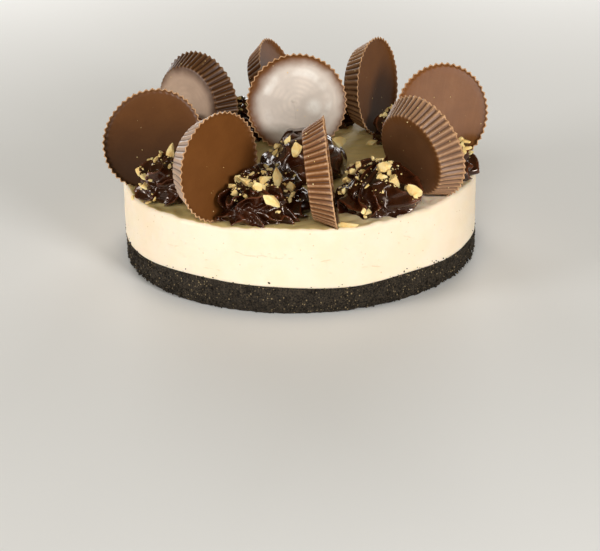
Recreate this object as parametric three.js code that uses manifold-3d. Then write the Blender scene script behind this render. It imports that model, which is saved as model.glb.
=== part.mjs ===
// A round mousse cake on a dark crumb crust, topped with piped ganache rosettes, chopped nuts
// and fluted chocolate cups stood on edge. Millimetres, +Z up. The origin is the centre of the
// crust's flat underside, and the front of the cake faces -Y.
import * as THREE from "three";
import { ConvexGeometry } from "three/addons/geometries/ConvexGeometry.js";
import { mergeVertices } from "three/addons/utils/BufferGeometryUtils.js";
import Module from "manifold-3d";

const wasm = await Module();
wasm.setup();

// ---- Driving dimensions ----

const INCH = 25.4;
const CAKE_RADIUS = 3.5 * INCH;
const CRUST_HEIGHT = 13.4;
const CAKE_HEIGHT = 41.9;
const CAKE_SIDES = 84;
const GAP = 0.3;

// A wave of the cut edge: how many times it repeats round the cake, its height, and the
// compass angle of one crest in degrees.
const CRUST_LINE = [
  { repeats: 2, height: 0.8, crest: 55 },
  { repeats: 5, height: 0.65, crest: 26 },
  { repeats: 10, height: 0.33, crest: -18 },
  { repeats: 9, height: 0.23, crest: 17 },
];
const RIM_LINE = [
  { repeats: 1, height: 0.6, crest: -7 },
  { repeats: 6, height: 0.6, crest: 18 },
  { repeats: 10, height: 0.5, crest: 10 },
  { repeats: 8, height: 0.35, crest: 8 },
];
const RIM_BAND = 10.5;
const RIM_ROUND = 1.5;
const FOOT_INSET = 1.4;
const CRUMB = 0.5;
const MOUSSE_WOBBLE = 0.18;
// How far up the side the uneven rings lie, as shares of each layer's height.
const CRUST_BANDS = [0.3, 0.68];
const MOUSSE_BANDS = [0.45, 0.94];

const CUP_RIM_RADIUS = 26.25;
const CUP_FOOT_RADIUS = 20.9;
const CUP_HEIGHT = 11.1;
const CUP_FLUTES = 48;
const FLUTE_DEPTH = 1.05;
const LIP_WIDTH = 1.75;
const LIP_HEIGHT = 1.4;
const FACE_DISH = 0.5;
const FOOT_BEVEL = 1;

// Each cup stands on its rim: at is the centre of its wide face, turn the compass angle that
// the wide face looks along (0 is +X, 90 is +Y), tip how far it looks up from level, and roll,
// where there is one, how far it was rolled about its own axis.
const CUPS = [
  { name: "cup_left", at: [-72.3, -12.7, 62.7], turn: -108.1, tip: 34 },
  { name: "cup_front_left", at: [-36.4, -67.6, 65.9], turn: -41, tip: 1.9 },
  { name: "cup_back_left", at: [-50.2, 47.5, 63.9], turn: 49.6, tip: 0.6 },
  { name: "cup_back", at: [-7.9, 76.7, 63], turn: -15, tip: 22.2 },
  { name: "cup_centre", at: [-0.5, 27, 66.6], turn: -84.1, tip: 4.8 },
  { name: "cup_front", at: [14.4, -76, 65.3], turn: -0.3, tip: 6.2 },
  { name: "cup_back_right", at: [43.1, 58.8, 65.5], turn: -26.9, tip: 5.4, roll: 2.6 },
  { name: "cup_right", at: [72.2, 15.4, 63.1], turn: -122.5, tip: 20.6 },
  { name: "cup_front_right", at: [60.7, -44.2, 66.3], turn: 38.2, tip: 12.3 },
];

// Each rosette: where its foot stands, its widest radius, its height above the mousse, how far
// its peak leans, and how many nut chips lie on it.
const ROSETTES = [
  { name: "rosette_front_left", at: [-18.2, -61.3], radius: 23.1, height: 19.8, lean: [1.2, 2.3], chips: 7 },
  { name: "rosette_front_right", at: [33.4, -56], radius: 21.9, height: 21.9, lean: [7, 7], chips: 7 },
  { name: "rosette_centre", at: [-0.8, -5.6], radius: 23.7, height: 21, lean: [-2.8, 1.2], chips: 5 },
  { name: "rosette_left", at: [-58.3, -32.7], radius: 21.2, height: 20.4, lean: [-1.2, 1.2], chips: 7 },
  { name: "rosette_right", at: [64.5, -16.3], radius: 21.9, height: 19.8, lean: [3.5, 2.3], chips: 4 },
  { name: "rosette_back_right", at: [57.8, 39.7], radius: 19.1, height: 19.3, lean: [-1.2, 1.2], chips: 4 },
  { name: "rosette_back", at: [15.2, 70.6], radius: 16.3, height: 18.7, lean: [1.2, 0], chips: 3 },
  { name: "rosette_back_left", at: [-29.8, 58.9], radius: 20.4, height: 18.7, lean: [0, 0], chips: 4 },
  { name: "rosette_far_left", at: [-61.7, 21.2], radius: 21.6, height: 19.8, lean: [1.2, 1.2], chips: 4 },
];
const LOBES = 10;
const ROSETTE_SIDES = 3 * LOBES;
const SWIRL = 80;
// How far a crest stands out and up as shares of the radius and height, how unlike each other
// the crests are, and how deep a valley is beside a crest.
const FOLD = { out: 0.12, up: 0.06, crestLeast: 0.7, crestMost: 1.3, valley: -0.5 };
// The outline of a rosette from its foot to its peak, as fractions of its radius and height.
const ROSETTE_OUTLINE = [
  { reach: 0.86, rise: -0.06 },
  { reach: 0.99, rise: 0.15 },
  { reach: 0.86, rise: 0.4 },
  { reach: 0.82, rise: 0.56 },
  { reach: 0.5, rise: 0.76 },
  { reach: 0.3, rise: 0.9 },
];

const CHIP_LENGTHS = { smallest: 3.5, largest: 8.4 };
// A chip's width and depth as shares of its length, and how far it is lifted out of what it
// lies on.
const CHIP_WIDTH = { least: 0.6, most: 0.84 };
const CHIP_DEPTH = { least: 0.4, most: 0.64 };
const CHIP_LIFT = 0.12;
const CHIP_CORNERS = 7;
// The share of a turn between one point and the next that spreads points evenly round a ring.
const GOLDEN_SHARE = 0.382;
// Nut chips that lie on the mousse itself: their place and length.
const LOOSE_CHIPS = [
  { at: [21.6, -83.3], length: 9.9 },
  { at: [37.3, 30.7], length: 6.1 },
];

const SEEDS = { crust: 11, mousse: 23, looseChips: 57, firstRosette: 101 };

const COLOURS = { crust: 0x27231e, mousse: 0xf8e9c8, cup: 0x6d4429, ganache: 0x2a1712 };

// ---- Helpers ----

const radians = THREE.MathUtils.degToRad;
const UP = new THREE.Vector3(0, 0, 1);

/** A repeatable stream of numbers from 0 to 1. */
function seededDraw(seed) {
  let state = seed >>> 0;
  return () => {
    state = (state + 0x6d2b79f5) >>> 0;
    let mixed = Math.imul(state ^ (state >>> 15), 1 | state);
    mixed = (mixed + Math.imul(mixed ^ (mixed >>> 7), 61 | mixed)) ^ mixed;
    return ((mixed ^ (mixed >>> 14)) >>> 0) / 4294967296;
  };
}

/** A closed ring of points: radiusAt and heightAt take the angle and the point's number. */
function ring(count, radiusAt, heightAt, twist = 0) {
  return Array.from({ length: count }, (_, number) => {
    const angle = twist + (2 * Math.PI * number) / count;
    const radius = radiusAt(angle, number);
    return new THREE.Vector3(
      radius * Math.cos(angle),
      radius * Math.sin(angle),
      heightAt(angle, number),
    );
  });
}

/** A closed body through rings given from the lowest to the highest, with a fan at each end. */
function skin(rings, bottomCentre, topCentre) {
  const points = [bottomCentre, topCentre, ...rings.flat()];
  const starts = rings.map((_, level) => 2 + rings.slice(0, level).flat().length);
  const corner = (level, number) => starts[level] + (number % rings[level].length);
  const faces = [];
  rings[0].forEach((_, number) => faces.push(0, corner(0, number + 1), corner(0, number)));
  for (let level = 0; level + 1 < rings.length; level += 1) {
    const below = rings[level].length;
    const above = rings[level + 1].length;
    let low = 0;
    let high = 0;
    while (low < below || high < above) {
      const stepLow = high >= above || (low < below && (low + 1) * above <= (high + 1) * below);
      if (stepLow) {
        faces.push(corner(level, low), corner(level, low + 1), corner(level + 1, high));
        low += 1;
      } else {
        faces.push(corner(level, low), corner(level + 1, high + 1), corner(level + 1, high));
        high += 1;
      }
    }
  }
  const last = rings.length - 1;
  rings[last].forEach((_, number) => faces.push(1, corner(last, number), corner(last, number + 1)));
  const geometry = new THREE.BufferGeometry().setFromPoints(points);
  geometry.setIndex(faces);
  return geometry;
}

/** The solid of a closed geometry, ready to be joined or cut. */
function toSolid(geometry) {
  const bare = geometry.clone();
  bare.deleteAttribute("normal");
  bare.deleteAttribute("uv");
  const merged = mergeVertices(bare);
  const vertProperties = new Float32Array(merged.attributes.position.array);
  const triVerts = new Uint32Array(merged.index.array);
  return new wasm.Manifold(new wasm.Mesh({ numProp: 3, vertProperties, triVerts }));
}

/** The geometry of a solid. */
function toGeometry(solid) {
  const { vertProperties, triVerts } = solid.getMesh();
  const geometry = new THREE.BufferGeometry();
  geometry.setAttribute("position", new THREE.BufferAttribute(vertProperties, 3));
  geometry.setIndex(new THREE.BufferAttribute(triVerts, 1));
  return geometry;
}

/** The largest connected piece of a solid, without the scraps that a cut leaves. */
function largestPiece(solid) {
  return solid.decompose().reduce((best, piece) => (piece.volume() > best.volume() ? piece : best));
}

/** A named mesh with its own finish. */
function finished(name, geometry, color, roughness) {
  geometry.computeVertexNormals();
  const material = new THREE.MeshStandardMaterial({ color, roughness, metalness: 0, flatShading: true });
  const mesh = new THREE.Mesh(geometry, material);
  mesh.name = name;
  return mesh;
}

// ---- Cake body ----

function waveAt(waves, angle) {
  return waves.reduce(
    (sum, wave) => sum + wave.height * Math.cos(wave.repeats * (angle - radians(wave.crest))),
    0,
  );
}

const crustTopAt = (angle) => CRUST_HEIGHT + waveAt(CRUST_LINE, angle);
const rimAt = (angle) => CAKE_HEIGHT + waveAt(RIM_LINE, angle);

/** Pressed crumbs: rough sides, and a top edge that rises and falls. */
function crustGeometry() {
  const draw = seededDraw(SEEDS.crust);
  const rough = () => CAKE_RADIUS - CRUMB * 2 * draw();
  const level = (share) => (angle) => share * crustTopAt(angle);
  const rings = [
    ring(CAKE_SIDES, () => CAKE_RADIUS - FOOT_INSET, () => 0),
    ...CRUST_BANDS.map((share) => ring(CAKE_SIDES, rough, level(share))),
    ring(CAKE_SIDES, () => CAKE_RADIUS - CRUMB, crustTopAt),
  ];
  return skin(rings, new THREE.Vector3(0, 0, 0), new THREE.Vector3(0, 0, CRUST_HEIGHT));
}

/** The mousse: its underside follows the crust, and its rim is spread unevenly. */
function mousseGeometry() {
  const draw = seededDraw(SEEDS.mousse);
  const smooth = () => CAKE_RADIUS - MOUSSE_WOBBLE * 2 * draw();
  const between = (share) => (angle) =>
    THREE.MathUtils.lerp(crustTopAt(angle) + GAP, rimAt(angle), share);
  const rings = [
    ring(CAKE_SIDES, () => CAKE_RADIUS - CRUMB, (angle) => crustTopAt(angle) + GAP),
    ...MOUSSE_BANDS.map((share) => ring(CAKE_SIDES, smooth, between(share))),
    ring(CAKE_SIDES, () => CAKE_RADIUS - RIM_ROUND, rimAt),
    ring(CAKE_SIDES, () => CAKE_RADIUS - RIM_BAND, () => CAKE_HEIGHT),
  ];
  const underside = new THREE.Vector3(0, 0, CRUST_HEIGHT + GAP);
  return skin(rings, underside, new THREE.Vector3(0, 0, CAKE_HEIGHT));
}

// ---- Chocolate cups ----

/**
 * A fluted cup about its own axis: its rim lies at z = 0, and the wide face looks along +Z, sunk
 * inside the lip and dished a little.
 */
function cupGeometry() {
  const fluted = (radius, depth) => (_, number) => radius - (number % 2) * depth;
  const level = (height) => () => height;
  const rings = [
    ring(CUP_FLUTES, () => CUP_FOOT_RADIUS - FOOT_BEVEL, level(-CUP_HEIGHT)),
    ring(2 * CUP_FLUTES, fluted(CUP_FOOT_RADIUS, FLUTE_DEPTH / 2), level(FOOT_BEVEL / 2 - CUP_HEIGHT)),
    ring(2 * CUP_FLUTES, fluted(CUP_RIM_RADIUS, FLUTE_DEPTH), level(0)),
    ring(CUP_FLUTES, () => CUP_RIM_RADIUS - LIP_WIDTH, level(-LIP_HEIGHT)),
  ];
  const foot = new THREE.Vector3(0, 0, -CUP_HEIGHT);
  return skin(rings, foot, new THREE.Vector3(0, 0, -LIP_HEIGHT - FACE_DISH));
}

/** A smooth cone a gap larger than a cup all round, which makes the room that the cup needs. */
function cupRoomGeometry() {
  const sides = CUP_FLUTES / 2;
  const outside = 1 / Math.cos(Math.PI / sides);
  const rings = [
    ring(sides, () => (CUP_FOOT_RADIUS + GAP) * outside, () => -CUP_HEIGHT - GAP),
    ring(sides, () => (CUP_RIM_RADIUS + GAP) * outside, () => GAP),
  ];
  return skin(rings, new THREE.Vector3(0, 0, -CUP_HEIGHT - GAP), new THREE.Vector3(0, 0, GAP));
}

/** Stands a cup, or the room for it, at its place with its wide face turned and tipped. */
function placeCup(target, { at, turn, tip, roll = 0 }) {
  target.position.set(...at);
  target.rotation.set(0, radians(90 - tip), radians(turn), "ZYX");
  target.rotateZ(radians(roll));
  return target;
}

function cupRoom(cup) {
  const place = placeCup(new THREE.Object3D(), cup);
  place.updateMatrixWorld();
  return toSolid(cupRoomGeometry().applyMatrix4(place.matrixWorld));
}

// ---- Nut chips ----

/** An angular chip of chopped nut of the given length, at a point. */
function chipSolid(draw, length, at) {
  const share = ({ least, most }) => THREE.MathUtils.lerp(least, most, draw());
  const halves = new THREE.Vector3(1, share(CHIP_WIDTH), share(CHIP_DEPTH)).multiplyScalar(length / 2);
  const turned = new THREE.Euler(draw() - 0.5, draw() - 0.5, 2 * Math.PI * draw());
  const corners = Array.from({ length: CHIP_CORNERS }, (_, number) => {
    const height = (2 * (number + 0.5)) / CHIP_CORNERS - 1;
    const around = 2 * Math.PI * (number * GOLDEN_SHARE + draw() / CHIP_CORNERS);
    const spread = Math.sqrt(1 - height * height);
    return new THREE.Vector3(spread * Math.cos(around), spread * Math.sin(around), height)
      .multiply(halves)
      .applyEuler(turned)
      .add(at);
  });
  return toSolid(new ConvexGeometry(corners));
}

// ---- Ganache rosettes ----

/** Piped ganache: two coils with thin crests and wide valleys that swirl up to a leaning peak. */
function rosetteRings(rosette, draw) {
  const spin = 2 * Math.PI * draw();
  const crests = Array.from({ length: LOBES }, () =>
    THREE.MathUtils.lerp(FOLD.crestLeast, FOLD.crestMost, draw()),
  );
  return ROSETTE_OUTLINE.map(({ reach, rise }) => {
    const climb = Math.max(rise, 0);
    const fold = (number) => reach * (number % 3 === 0 ? crests[number / 3] : FOLD.valley);
    const points = ring(
      ROSETTE_SIDES,
      (_, number) => rosette.radius * (reach + FOLD.out * fold(number)),
      (_, number) => rosette.height * (rise + FOLD.up * climb * fold(number)),
      spin + radians(SWIRL) * climb,
    );
    const lean = climb * climb;
    points.forEach((point) => point.add({ x: lean * rosette.lean[0], y: lean * rosette.lean[1], z: 0 }));
    return points;
  });
}

/** The chips scattered over a rosette: the largest come first, all over its upper slopes. */
function rosetteChips(rosette, rings, draw) {
  const upper = rings.slice(-3);
  return Array.from({ length: rosette.chips }, (_, number) => {
    const share = number / rosette.chips;
    const length = THREE.MathUtils.lerp(CHIP_LENGTHS.largest, CHIP_LENGTHS.smallest, Math.sqrt(share));
    const slope = upper[Math.floor(upper.length * draw())];
    const corner = Math.floor(ROSETTE_SIDES * ((number * GOLDEN_SHARE) % 1));
    return chipSolid(draw, length, slope[corner].clone().addScaledVector(UP, CHIP_LIFT * length));
  });
}

/** A rosette about its own foot, with its chips, fitted round the cups and onto the mousse. */
function rosetteGeometry(rosette, seed, obstacles) {
  const draw = seededDraw(seed);
  const rings = rosetteRings(rosette, draw);
  const peak = new THREE.Vector3(rosette.lean[0], rosette.lean[1], rosette.height);
  let solid = toSolid(skin(rings, new THREE.Vector3(0, 0, rings[0][0].z), peak));
  for (const chip of rosetteChips(rosette, rings, draw)) {
    solid = solid.add(chip);
  }
  const stood = toSolid(toGeometry(solid).translate(rosette.at[0], rosette.at[1], CAKE_HEIGHT));
  const fitted = obstacles.reduce((left, obstacle) => left.subtract(obstacle), stood);
  return toGeometry(largestPiece(fitted)).translate(-rosette.at[0], -rosette.at[1], -CAKE_HEIGHT);
}

// ---- The cake ----

const cake = new THREE.Group();
cake.name = "cake";
cake.add(finished("crust", crustGeometry(), COLOURS.crust, 0.9));

const rooms = CUPS.map(cupRoom);
const bareMousse = mousseGeometry();
const raisedMousse = toSolid(bareMousse.clone().translate(0, 0, GAP));

const looseDraw = seededDraw(SEEDS.looseChips);
let mousse = rooms.reduce((left, room) => left.subtract(room), toSolid(bareMousse));
for (const { at, length } of LOOSE_CHIPS) {
  const place = new THREE.Vector3(at[0], at[1], CAKE_HEIGHT).addScaledVector(UP, CHIP_LIFT * length);
  mousse = mousse.add(chipSolid(looseDraw, length, place));
}
cake.add(finished("mousse", toGeometry(largestPiece(mousse)), COLOURS.mousse, 0.6));

const toppings = new THREE.Group();
toppings.name = "toppings";
cake.add(toppings);

for (const cup of CUPS) {
  toppings.add(placeCup(finished(cup.name, cupGeometry(), COLOURS.cup, 0.45), cup));
}

ROSETTES.forEach((rosette, number) => {
  const geometry = rosetteGeometry(rosette, SEEDS.firstRosette + number, [...rooms, raisedMousse]);
  const mesh = finished(rosette.name, geometry, COLOURS.ganache, 0.25);
  mesh.position.set(rosette.at[0], rosette.at[1], CAKE_HEIGHT);
  toppings.add(mesh);
});

export default cake;
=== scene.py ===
# %% [markdown]
# # A mousse cake, dressed for the camera
#
# The real object is a seven-inch mousse cake on a dark cookie crust. Piped ganache rosettes,
# chopped peanuts and nine fluted chocolate cups stand on top. The imported model gives every
# piece its place. This lesson gives each piece its fine shape and its finish, one cell at a
# time. We start by loading the imported model.

# %% Load the frame
import math

import bpy
import numpy as np
from mathutils import Matrix, Quaternion, Vector
from mathutils.bvhtree import BVHTree


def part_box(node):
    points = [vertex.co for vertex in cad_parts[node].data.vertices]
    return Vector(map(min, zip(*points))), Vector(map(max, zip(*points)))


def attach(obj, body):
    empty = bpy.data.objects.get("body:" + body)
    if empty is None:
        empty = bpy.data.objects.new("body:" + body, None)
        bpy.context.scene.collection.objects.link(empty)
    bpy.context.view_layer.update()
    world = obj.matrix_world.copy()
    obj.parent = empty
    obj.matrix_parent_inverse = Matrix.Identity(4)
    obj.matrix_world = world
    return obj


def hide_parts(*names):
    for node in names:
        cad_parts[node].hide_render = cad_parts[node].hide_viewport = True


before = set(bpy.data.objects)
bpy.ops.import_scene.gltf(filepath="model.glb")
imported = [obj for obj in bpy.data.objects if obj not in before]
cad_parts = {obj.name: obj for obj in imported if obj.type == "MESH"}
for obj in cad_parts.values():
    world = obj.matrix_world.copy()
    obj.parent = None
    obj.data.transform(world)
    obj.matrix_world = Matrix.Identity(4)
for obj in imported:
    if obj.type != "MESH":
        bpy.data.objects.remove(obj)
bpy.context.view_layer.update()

# %% [markdown]
# ## Sizes
#
# Blender works in metres, while a baker thinks in millimetres, so one named factor turns one
# into the other. The few sizes below are the ones that the pieces share. They repeat the
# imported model's own, and the print shows that the two agree.

# %% Shared sizes
MM = 0.001
CAKE_RADIUS = 88.9 * MM
CRUST_HEIGHT = 13.4 * MM
CAKE_HEIGHT = 41.9 * MM
CUP_RIM_RADIUS = 26.25 * MM
CUP_FOOT_RADIUS = 20.9 * MM
CUP_HEIGHT = 11.1 * MM
CUP_FLUTES = 48

low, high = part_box("mousse")
print("mousse across, mm:", round((high.x - low.x) / MM, 1), "of", round(2 * CAKE_RADIUS / MM, 1))

# %% [markdown]
# ## The camera
#
# The picture looks slightly down on the cake from the front, through a fairly long lens, and
# is turned a little, so that the right side sits higher. We could aim the camera by eye. It
# is better worked out: the rings of the cake fix the height, the distance and the lens, and
# `to_track_quat` does the aiming. We also keep a helper that sends a ray through any pixel of
# the picture, because later cells put nut chips where the picture shows them.

# %% Camera
PICTURE_WIDTH, PICTURE_HEIGHT = 600, 551
LENS_IN_PIXELS = 1652.5
SENSOR_MM = 36
CAMERA_AT = Vector((-0.9, -787.9, 315.2)) * MM
CAMERA_AIM = Vector((-0.9, 0, -17.6)) * MM
CAMERA_ROLL = math.radians(-1.33)

camera = bpy.data.objects.new("camera", bpy.data.cameras.new("camera"))
bpy.context.scene.collection.objects.link(camera)
bpy.context.scene.camera = camera
camera.data.sensor_width = SENSOR_MM
camera.data.lens = LENS_IN_PIXELS / PICTURE_WIDTH * SENSOR_MM
camera.location = CAMERA_AT
camera.rotation_mode = "QUATERNION"
camera_turn = (CAMERA_AIM - CAMERA_AT).to_track_quat("-Z", "Y") @ Quaternion((0, 0, 1), CAMERA_ROLL)
camera.rotation_quaternion = camera_turn


def towards_pixel(across, down):
    """The direction from the camera through a pixel of the picture."""
    x = (across - PICTURE_WIDTH / 2) / LENS_IN_PIXELS
    y = (PICTURE_HEIGHT / 2 - down) / LENS_IN_PIXELS
    return (camera_turn @ Vector((x, y, -1))).normalized()


print("lens, mm:", round(camera.data.lens, 2))

# %% [markdown]
# ## Floor and light
#
# The cake is shown on a plain pale floor. The light in the picture comes low and from both
# sides of the camera: the side of the cake is bright and its top is dim. A sun lamp would cut
# hard shadows, so we use large area lights: two low ones in front, a weak one above the camera
# that opens the shadows between the rosettes, and two behind, so that the back can be looked
# at too. A dim warm world fills what is left, and the Standard view shows colours unchanged.

# %% Floor and air
FLOOR_COLOUR, FLOOR_ROUGHNESS, FLOOR_DEPTH = (0.85, 0.84, 0.82, 1), 0.7, 0.2 * MM
AIR_COLOUR, AIR_STRENGTH = (1, 0.86, 0.5, 1), 0.14
scene = bpy.context.scene
scene.view_settings.view_transform = "Standard"
scene.world = bpy.data.worlds.new("studio")
scene.world.use_nodes = True
air = scene.world.node_tree.nodes["Background"]
air.inputs["Color"].default_value = AIR_COLOUR
air.inputs["Strength"].default_value = AIR_STRENGTH

bpy.ops.mesh.primitive_plane_add(size=6, location=(0, 0, -FLOOR_DEPTH))
floor = bpy.context.object
floor.name = "floor"
floor_paint = bpy.data.materials.new("pale_floor")
floor_paint.use_nodes = True
shader = floor_paint.node_tree.nodes["Principled BSDF"]
shader.inputs["Base Color"].default_value = FLOOR_COLOUR
shader.inputs["Roughness"].default_value = FLOOR_ROUGHNESS
floor.data.materials.append(floor_paint)
print("floor below the cake, mm:", round(FLOOR_DEPTH / MM, 1))

# %% [markdown]
# One function makes every lamp. It takes a compass angle and a height angle, and turns the lamp
# to the cake with `to_track_quat`, as we did for the camera. The lamps are hidden from the
# camera itself.

# %% Lights
LIGHT_TINT, LIGHT_DISTANCE = (0.98, 0.985, 1.0), 1.2
# Name, compass angle (0 along +X, 90 along +Y), height angle, width in metres, power in watts.
STUDIO_LIGHTS = (
    ("key_left", -158, 10, 0.4, 8.3),
    ("key_right", -57, 15, 0.3, 9.6),
    ("front_fill", -98, 32, 0.25, 2.6),
    ("back_right", 70, 14, 0.5, 4.5),
    ("back_left", 112, 14, 0.5, 4.5),
)


def soft_light(name, compass, height, width, power):
    """A square area light aimed at the cake."""
    light = bpy.data.lights.new(name, "AREA")
    light.size = width
    light.energy = power
    light.color = LIGHT_TINT
    lamp = bpy.data.objects.new(name, light)
    scene.collection.objects.link(lamp)
    turn, rise = math.radians(compass), math.radians(height)
    way = Vector((math.cos(turn) * math.cos(rise), math.sin(turn) * math.cos(rise), math.sin(rise)))
    lamp.location = Vector((0, 0, CAKE_HEIGHT)) + way * LIGHT_DISTANCE
    lamp.rotation_mode = "QUATERNION"
    lamp.rotation_quaternion = (-way).to_track_quat("-Z", "Y")
    lamp.visible_camera = False


for settings in STUDIO_LIGHTS:
    soft_light(*settings)
print("lights:", [settings[0] for settings in STUDIO_LIGHTS])

# %% [markdown]
# ## Random heights
#
# Food is uneven everywhere, so most cells need smooth random heights. Blender has noise
# functions, but calling them for each vertex is slow. `lumps` works on whole numpy arrays: it
# draws random numbers at the corners of a grid and blends between them. The same seed always
# gives the same cake. `smooth_step` is the soft switch that fades one shape into another.

# %% Random heights
def corner_values(cells, seed):
    """A repeatable number from -1 to 1 for each whole-numbered corner of the grid."""
    mixed = (
        cells[..., 0] * 374761393 + cells[..., 1] * 668265263 + cells[..., 2] * 2147483647 + seed * 974711
    ) & 0xFFFFFFFF
    mixed = ((mixed ^ (mixed >> 13)) * 1274126177) & 0xFFFFFFFF
    mixed = ((mixed ^ (mixed >> 16)) * 2246822519) & 0xFFFFFFFF
    return (mixed ^ (mixed >> 15)) / 2147483647.5 - 1


def lumps(points, size, seed=0, octaves=2):
    """Smooth random heights from about -1 to 1: lumps of the given size, and finer ones."""
    total = np.zeros(points.shape[:-1])
    strength = 1.0
    for octave in range(octaves):
        place = points * (2**octave / size) + 19.7 * octave
        cell = np.floor(place).astype(np.int64)
        part = place - cell
        part = part * part * (3 - 2 * part)
        for corner in np.ndindex(2, 2, 2):
            nearness = np.prod(np.where(corner, part, 1 - part), axis=-1)
            total += strength * nearness * corner_values(cell + corner, seed + octave)
        strength *= 0.5
    return total


def full_circle(count):
    """Evenly spaced angles all the way round."""
    return np.linspace(0, 2 * np.pi, count, endpoint=False)


def smooth_step(value, start, end):
    """0 before start, 1 after end, and a soft rise between them."""
    share = np.clip((value - start) / (end - start), 0, 1)
    return share * share * (3 - 2 * share)


print("a lump's height:", round(float(lumps(np.array([1.2, 0.4, 2.6]), 1.0)), 3))

# %% [markdown]
# ## Tools for making meshes
#
# Nearly every piece of this cake is one closed skin: rings of points, one after the other, with
# a face at each end. A Screw modifier could turn a profile into such a skin, but with the
# points in an array we can push each one where the food needs it. `ring` and `skin_faces` make
# the skin and `make_mesh` turns it into an object. `mark` stores a number for each point, which
# a material can read, and `stand_for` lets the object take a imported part's place.

# %% Mesh tools
def ring(angle, radius, height):
    """Points at each angle round the Z axis, at a radius and a height."""
    angle, radius, height = np.broadcast_arrays(angle, radius, height)
    return np.stack([radius * np.cos(angle), radius * np.sin(angle), height], -1)


def skin_faces(rows, columns):
    """Quads between rings of points that each close on themselves, and a face at each end."""
    row, column = np.meshgrid(np.arange(rows - 1), np.arange(columns), indexing="ij")
    beside = (column + 1) % columns
    corners = [row * columns + column, row * columns + beside]
    corners += [(row + 1) * columns + beside, (row + 1) * columns + column]
    last = (rows - 1) * columns
    ends = [list(range(columns))[::-1], list(range(last, last + columns))]
    return np.stack(corners, -1).reshape(-1, 4).tolist() + ends


def make_mesh(name, points, faces, material, smooth=True):
    """A mesh object from points and faces, with its finish."""
    mesh = bpy.data.meshes.new(name)
    mesh.from_pydata(np.asarray(points).reshape(-1, 3).tolist(), [], faces)
    mesh.polygons.foreach_set("use_smooth", np.full(len(mesh.polygons), smooth))
    mesh.materials.append(material)
    mesh.update()
    made = bpy.data.objects.new(name, mesh)
    scene.collection.objects.link(made)
    return made


def mark(piece, name, values):
    """Stores a number for each point of a piece."""
    piece.data.attributes.new(name, "FLOAT", "POINT").data.foreach_set("value", values.ravel())


def stand_for(piece, part):
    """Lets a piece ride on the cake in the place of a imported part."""
    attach(piece, "root")
    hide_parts(part)


def report(piece):
    """Prints how many triangles a piece has."""
    triangles = sum(len(face.vertices) - 2 for face in piece.data.polygons)
    print(f"{piece.name}: {triangles} triangles")


print("mesh tools ready")

# %% [markdown]
# ## Tools for making materials
#
# Every finish below is a Principled shader with a few texture nodes in front of it. Writing
# each node by hand makes long cells, so `node` adds one and wires it in a single call. Values
# that are the same all over a surface, such as a coat's roughness, are set on the shader
# itself.

# %% Material tools
def finish(name, **sockets):
    """A new material: its node tree, and its shader with the named sockets set."""
    material = bpy.data.materials.new(name)
    material.use_nodes = True
    shader = material.node_tree.nodes["Principled BSDF"]
    for socket, value in sockets.items():
        shader.inputs[socket.replace("_", " ")].default_value = value
    return material, material.node_tree, shader


def node(tree, kind, inputs=None, **settings):
    """Adds a shader node. An input is a plain value, or another node's output."""
    made = tree.nodes.new("ShaderNode" + kind)
    for setting, value in settings.items():
        setattr(made, setting, value)
    for key, value in (inputs or {}).items():
        if isinstance(value, bpy.types.NodeSocket):
            tree.links.new(value, made.inputs[key])
        else:
            made.inputs[key].default_value = value
    return made


def maths(tree, operation, first, second=0.0, third=0.0):
    """A number worked out from others by a Math node."""
    return node(tree, "Math", {0: first, 1: second, 2: third}, operation=operation).outputs[0]


def times(tree, first, second):
    """One number times another."""
    return maths(tree, "MULTIPLY", first, second)


def vector(tree, operation, first, second=(0, 0, 0)):
    """A vector worked out from others by a Vector Math node."""
    return node(tree, "VectorMath", {0: first, 1: second}, operation=operation).outputs[0]


def ramp(tree, value, start, end, low=0.0, high=1.0):
    """A number that goes from low to high as value goes from start to end."""
    inputs = {"Value": value, "From Min": start, "From Max": end, "To Min": low, "To Max": high}
    return node(tree, "MapRange", inputs, interpolation_type="SMOOTHSTEP").outputs["Result"]


def mixed(tree, share, first, second):
    """Two colours mixed: all first where share is 0, all second where it is 1."""
    made = node(tree, "Mix", {0: share}, data_type="RGBA")
    for key, colour in ((6, first), (7, second)):
        if isinstance(colour, bpy.types.NodeSocket):
            tree.links.new(colour, made.inputs[key])
        else:
            made.inputs[key].default_value = (*colour, 1)
    return made.outputs[2]


def bumped(tree, shader, height, depth):
    """Feeds a height into the shader as a bump of the given depth in metres."""
    made = node(tree, "Bump", {"Height": height, "Distance": depth, "Strength": 1.0})
    tree.links.new(made.outputs["Normal"], shader.inputs["Normal"])


print("material tools ready")

# %% [markdown]
# The patterns come next: lumps, cells, a fine line between two points and a soft patch. All of
# them are laid out in the object's own space, so they stay in place when the camera moves. A
# cup stands tilted, so its finish turns that space first with a Mapping node, and `own_place`
# then gives the turned one.

# %% Patterns
def own_place(tree):
    """Where a point of the surface lies on its piece, about the piece's own axis if it has one."""
    mapping = tree.nodes.get("Mapping")
    return mapping.outputs["Vector"] if mapping else node(tree, "TexCoord").outputs["Object"]


def object_noise(tree, size, detail=3.0, roughness=0.5):
    """Noise from 0 to 1 with lumps of the given size, fixed to the object."""
    place = own_place(tree)
    inputs = {"Vector": place, "Scale": 1 / size, "Detail": detail, "Roughness": roughness}
    return node(tree, "TexNoise", inputs).outputs["Fac"]


def object_cells(tree, size):
    """A Voronoi node with random cells of the given size, fixed to the object."""
    return node(tree, "TexVoronoi", {"Vector": own_place(tree), "Scale": 1 / size})


def picked(tree, cells, start, end, channel="Red"):
    """1 in the few cells whose own random colour is high, 0 in the others."""
    colour = node(tree, "SeparateColor", {"Color": cells.outputs["Color"]})
    return ramp(tree, colour.outputs[channel], start, end)


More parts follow.
